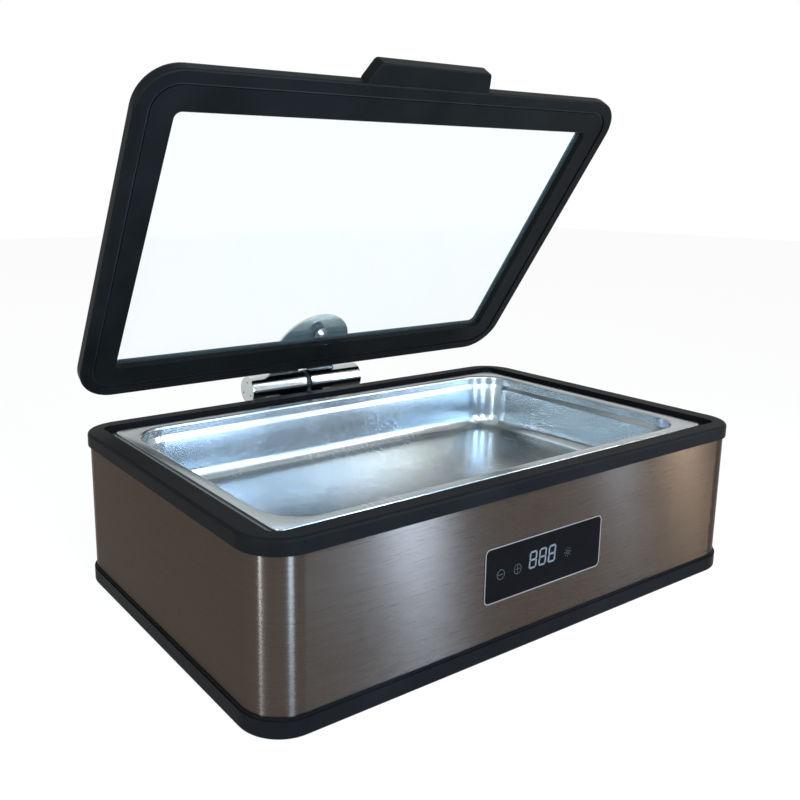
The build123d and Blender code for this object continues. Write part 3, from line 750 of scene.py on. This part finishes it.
studio = {
    "white": (1, 1, 1, 1),
    "ambient": 0.75,      # strength of the world's light, which is 1 where it is seen directly
    "floorReach": 6,
    "floor": (0.82, 0.82, 0.81),
    "floorPale": (0.85, 0.85, 0.84),
    "floorWash": (3, 2),
    "washShare": 0.3,
    "floorGlow": 0.90,      # how much of the floor is white where it is seen directly
    "cool": (0.66, 0.82, 1.0),
    "warm": (1.0, 0.93, 0.84),
    "sky": (0.46, 0.68, 1.0),
    "lamps": {      # place, aim, width, height, watts, colour
        "keySoft": ((-1.3, -1.7, 2.6), (0, 0, 0.1), 1.6, 1.6, 14, "warm"),
        "frontStrip": ((0.21, -0.67, 0.45), (-0.145, -0.187, 0.3), 0.08, 0.9, 15, "sky"),
        "rightStrip": ((0.567, -0.577, 0.45), (0.112, -0.187, 0.3), 0.022, 0.9, 2.6, "sky"),
        "endStrip": ((0.696, -0.545, 0.45), (0.215, -0.187, 0.3), 0.035, 0.9, 3.2, "warm"),
        "cornerStrip": ((-0.329, -0.782, 0.45), (-0.267, -0.185, 0.3), 0.12, 0.9, 17, "sky"),
        "sideStrip": ((-0.871, -0.301, 0.45), (-0.285, -0.171, 0.3), 0.06, 0.9, 10, "cool"),
        "backSoft": ((0.5, 2.0, 2.2), (0, 0, 0.1), 1.6, 1.0, 8, "cool"),
    },
}


def addLamp(name, place, aim, width, height, watts, colour):
    data = bpy.data.lights.new(name, "AREA")
    data.shape = "RECTANGLE"
    data.size = width
    data.size_y = height
    data.energy = watts
    data.color = studio[colour]
    lamp = bpy.data.objects.new(name, data)
    lamp.location = place
    lamp.visible_camera = False
    lamp.rotation_euler = (Vector(aim) - Vector(place)).to_track_quat("-Z", "Y").to_euler()
    bpy.context.scene.collection.objects.link(lamp)


def seenDirectly(f):
    # 1 where the camera, a reflection or a look through glass meets it.
    total = f.node("ShaderNodeLightPath", output="Is Camera Ray")
    for other in ("Is Glossy Ray", "Is Transmission Ray"):
        path = f.node("ShaderNodeLightPath", output=other)
        total = f.node("ShaderNodeMath", {"operation": "MAXIMUM"}, {0: total, 1: path})
    return total


def setWorld():
    world = bpy.data.worlds.new("studio")
    bpy.context.scene.world = world
    f = Finish(world)
    strength = f.spread(seenDirectly(f), studio["ambient"], 1.0, 0, 1)
    light = f.node("ShaderNodeBackground", {}, {"Color": studio["white"], "Strength": strength})
    f.done(light, "ShaderNodeOutputWorld")


def makeFloor():
    bm = bmesh.new()
    bmesh.ops.create_grid(bm, x_segments=1, y_segments=1, size=studio["floorReach"])
    mesh = bpy.data.meshes.new("floor")
    bm.to_mesh(mesh)
    bm.free()
    f = newFinish("paleFloor")
    wash = f.spread(f.noise(*studio["floorWash"]), 0, studio["washShare"])
    colour = f.blendColour(wash, studio["floor"], studio["floorPale"])
    matte = f.node("ShaderNodeBsdfDiffuse", {}, {"Color": colour})
    glow = f.node("ShaderNodeEmission", {}, {"Color": studio["white"], "Strength": 1.0})
    share = seenDirectly(f) * studio["floorGlow"]
    mesh.materials.append(f.done(f.node("ShaderNodeMixShader", {}, {0: share, 1: matte, 2: glow})))
    floor = bpy.data.objects.new("floor", mesh)
    bpy.context.scene.collection.objects.link(floor)


setCamera()
setWorld()
for name, values in studio["lamps"].items():
    addLamp(name, *values)
makeFloor()
bpy.context.scene.view_settings.view_transform = "Standard"
print("camera and studio set")
